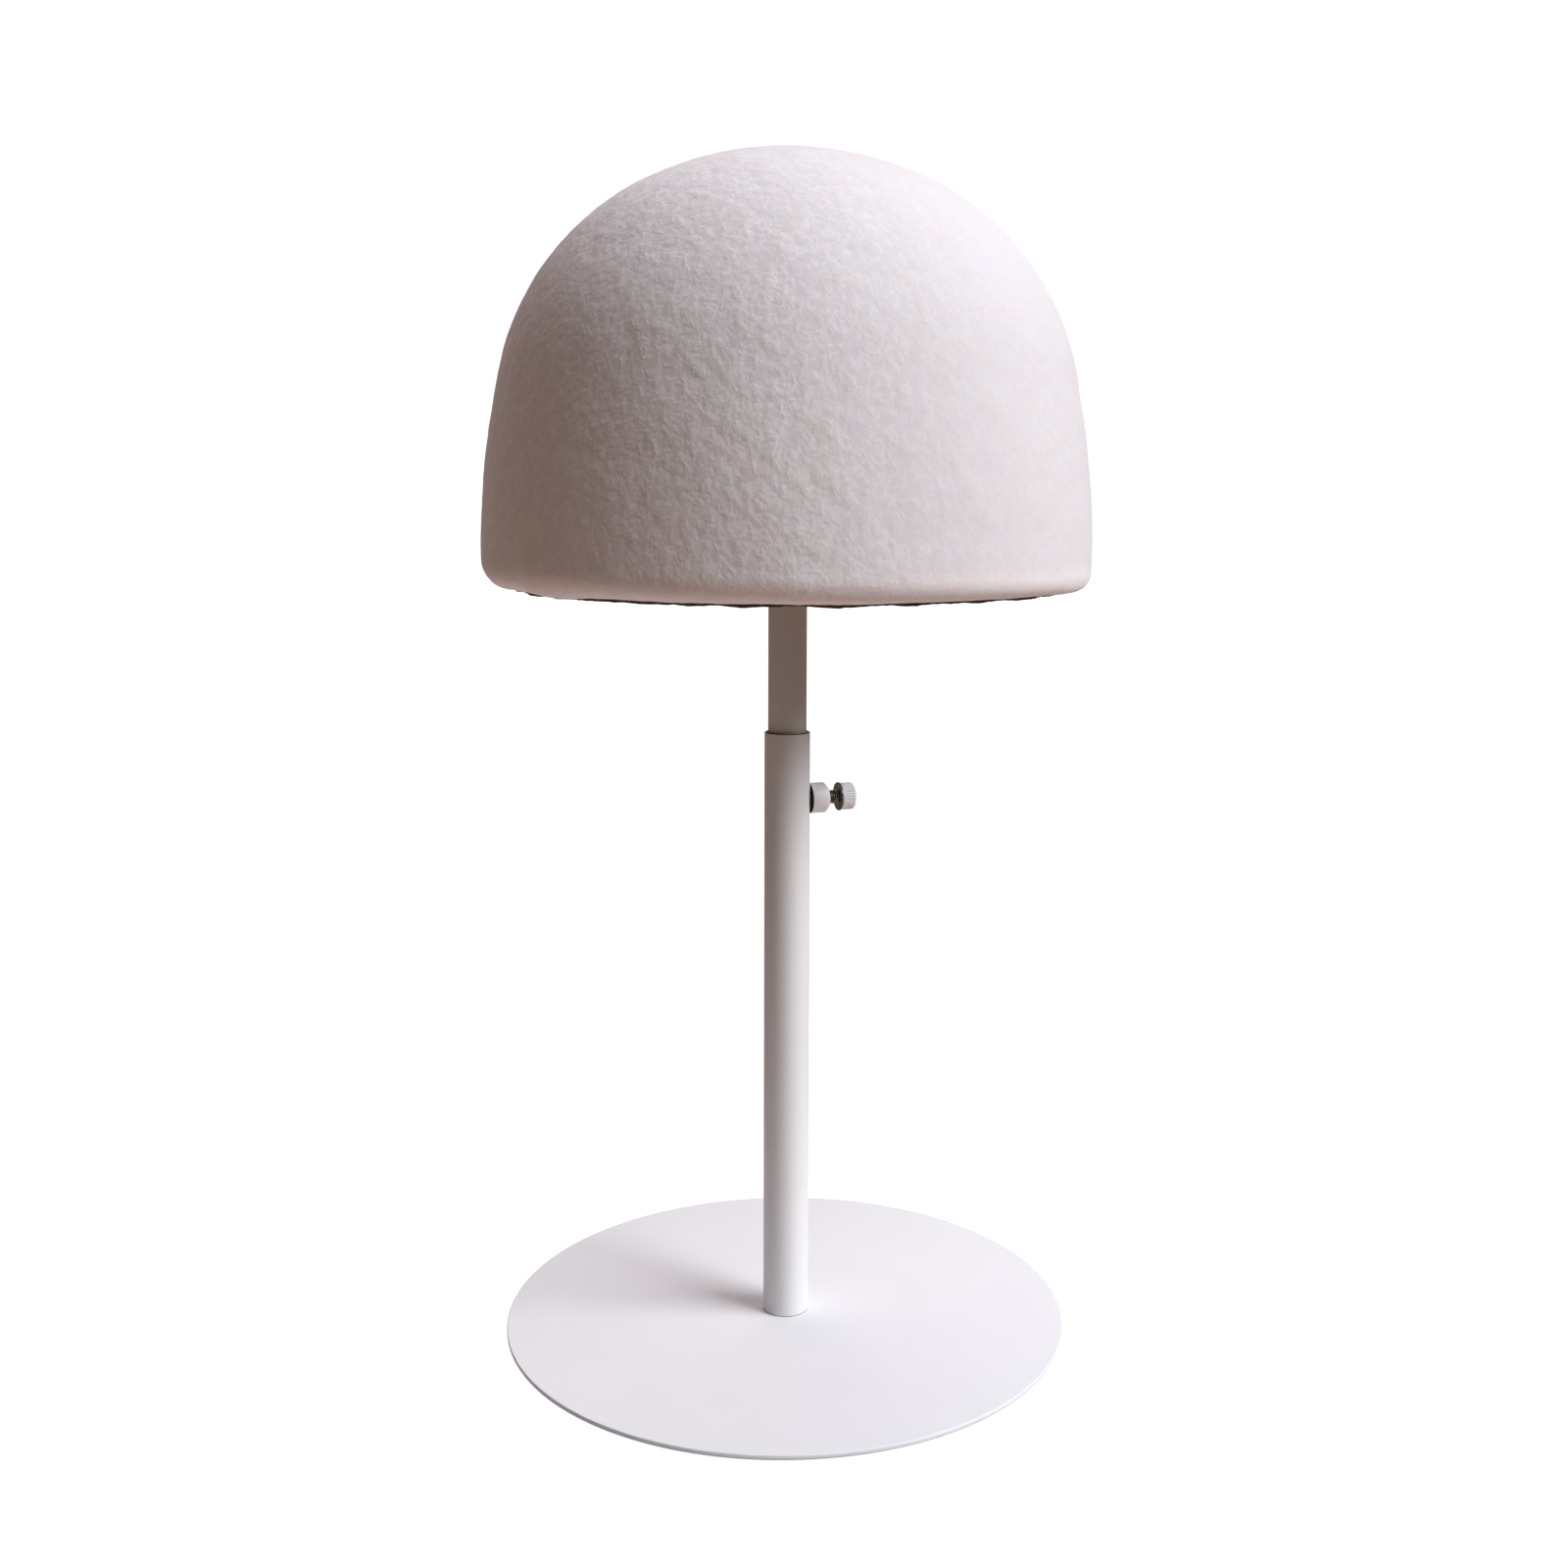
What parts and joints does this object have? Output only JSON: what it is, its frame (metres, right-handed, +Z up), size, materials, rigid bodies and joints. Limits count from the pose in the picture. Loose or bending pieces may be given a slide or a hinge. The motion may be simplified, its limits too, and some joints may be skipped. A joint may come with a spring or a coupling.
{
  "type": "milliners hat stand",
  "caption": "Domed felt head on a white telescopic post with a side thumb screw and a thin round base; holds a hat for shaping or display at a set height.",
  "frame": {"origin": "centre of the footprint, on the surface that the pads rest on", "axes": "+Z up along the post, +X from the post along the thumb screw"},
  "size_m": [0.17, 0.17, 0.3336],
  "materials": {
    "plate_coat": "matte",
    "tube_coat": "satin",
    "bush_coat": "satin",
    "cap_plastic": "matte",
    "screw_steel": "satin",
    "zinc_steel": "satin",
    "nylon": "satin",
    "pad_rubber": "matte",
    "wool_felt": "matte",
    "liner_cloth": "matte",
    "shell_plastic": "matte",
    "board_wood": "matte"
  },
  "bodies": {
    "stand": {"base_plate": "plate_coat", "base_pads": "pad_rubber", "base_screw": "zinc_steel", "foot_plug": "zinc_steel", "lower_tube": "tube_coat", "screw_boss": "bush_coat"},
    "glide": {"tube_glide": "nylon"},
    "head": {"upper_tube": "tube_coat", "neck_plug": "zinc_steel", "neck_stud": "zinc_steel", "head_nut": "zinc_steel", "head_board": "board_wood", "head_shell": "shell_plastic", "felt_cover": "wool_felt", "underside_liner": "liner_cloth"},
    "clamp_tip": {"screw_tip": "nylon"},
    "clamp_knob": {"thumb_screw": "screw_steel", "thumb_screw_cap": "cap_plastic"}
  },
  "joints": [
    {"name": "height_slide", "type": "slide", "parent": "stand", "child": "glide", "axis": [0, 0, 1], "range_m": [-0.04, 0.07]},
    {"name": "head_turn", "type": "hinge", "parent": "glide", "child": "head", "pos_m": [0, 0, 0.058], "axis": [0, 0, 1], "continuous": true},
    {"name": "screw_advance", "type": "slide", "parent": "stand", "child": "clamp_tip", "axis": [1, 0, 0], "range_m": [0, 0.0021]},
    {"name": "knob_turn", "type": "hinge", "parent": "clamp_tip", "child": "clamp_knob", "pos_m": [0.0153, 0, 0.1517], "axis": [1, 0, 0], "range_deg": [0, 1090]}
  ],
  "couplings": [
    {"joint": "knob_turn", "follows": "screw_advance", "rad_per_m": 8976}
  ]
}
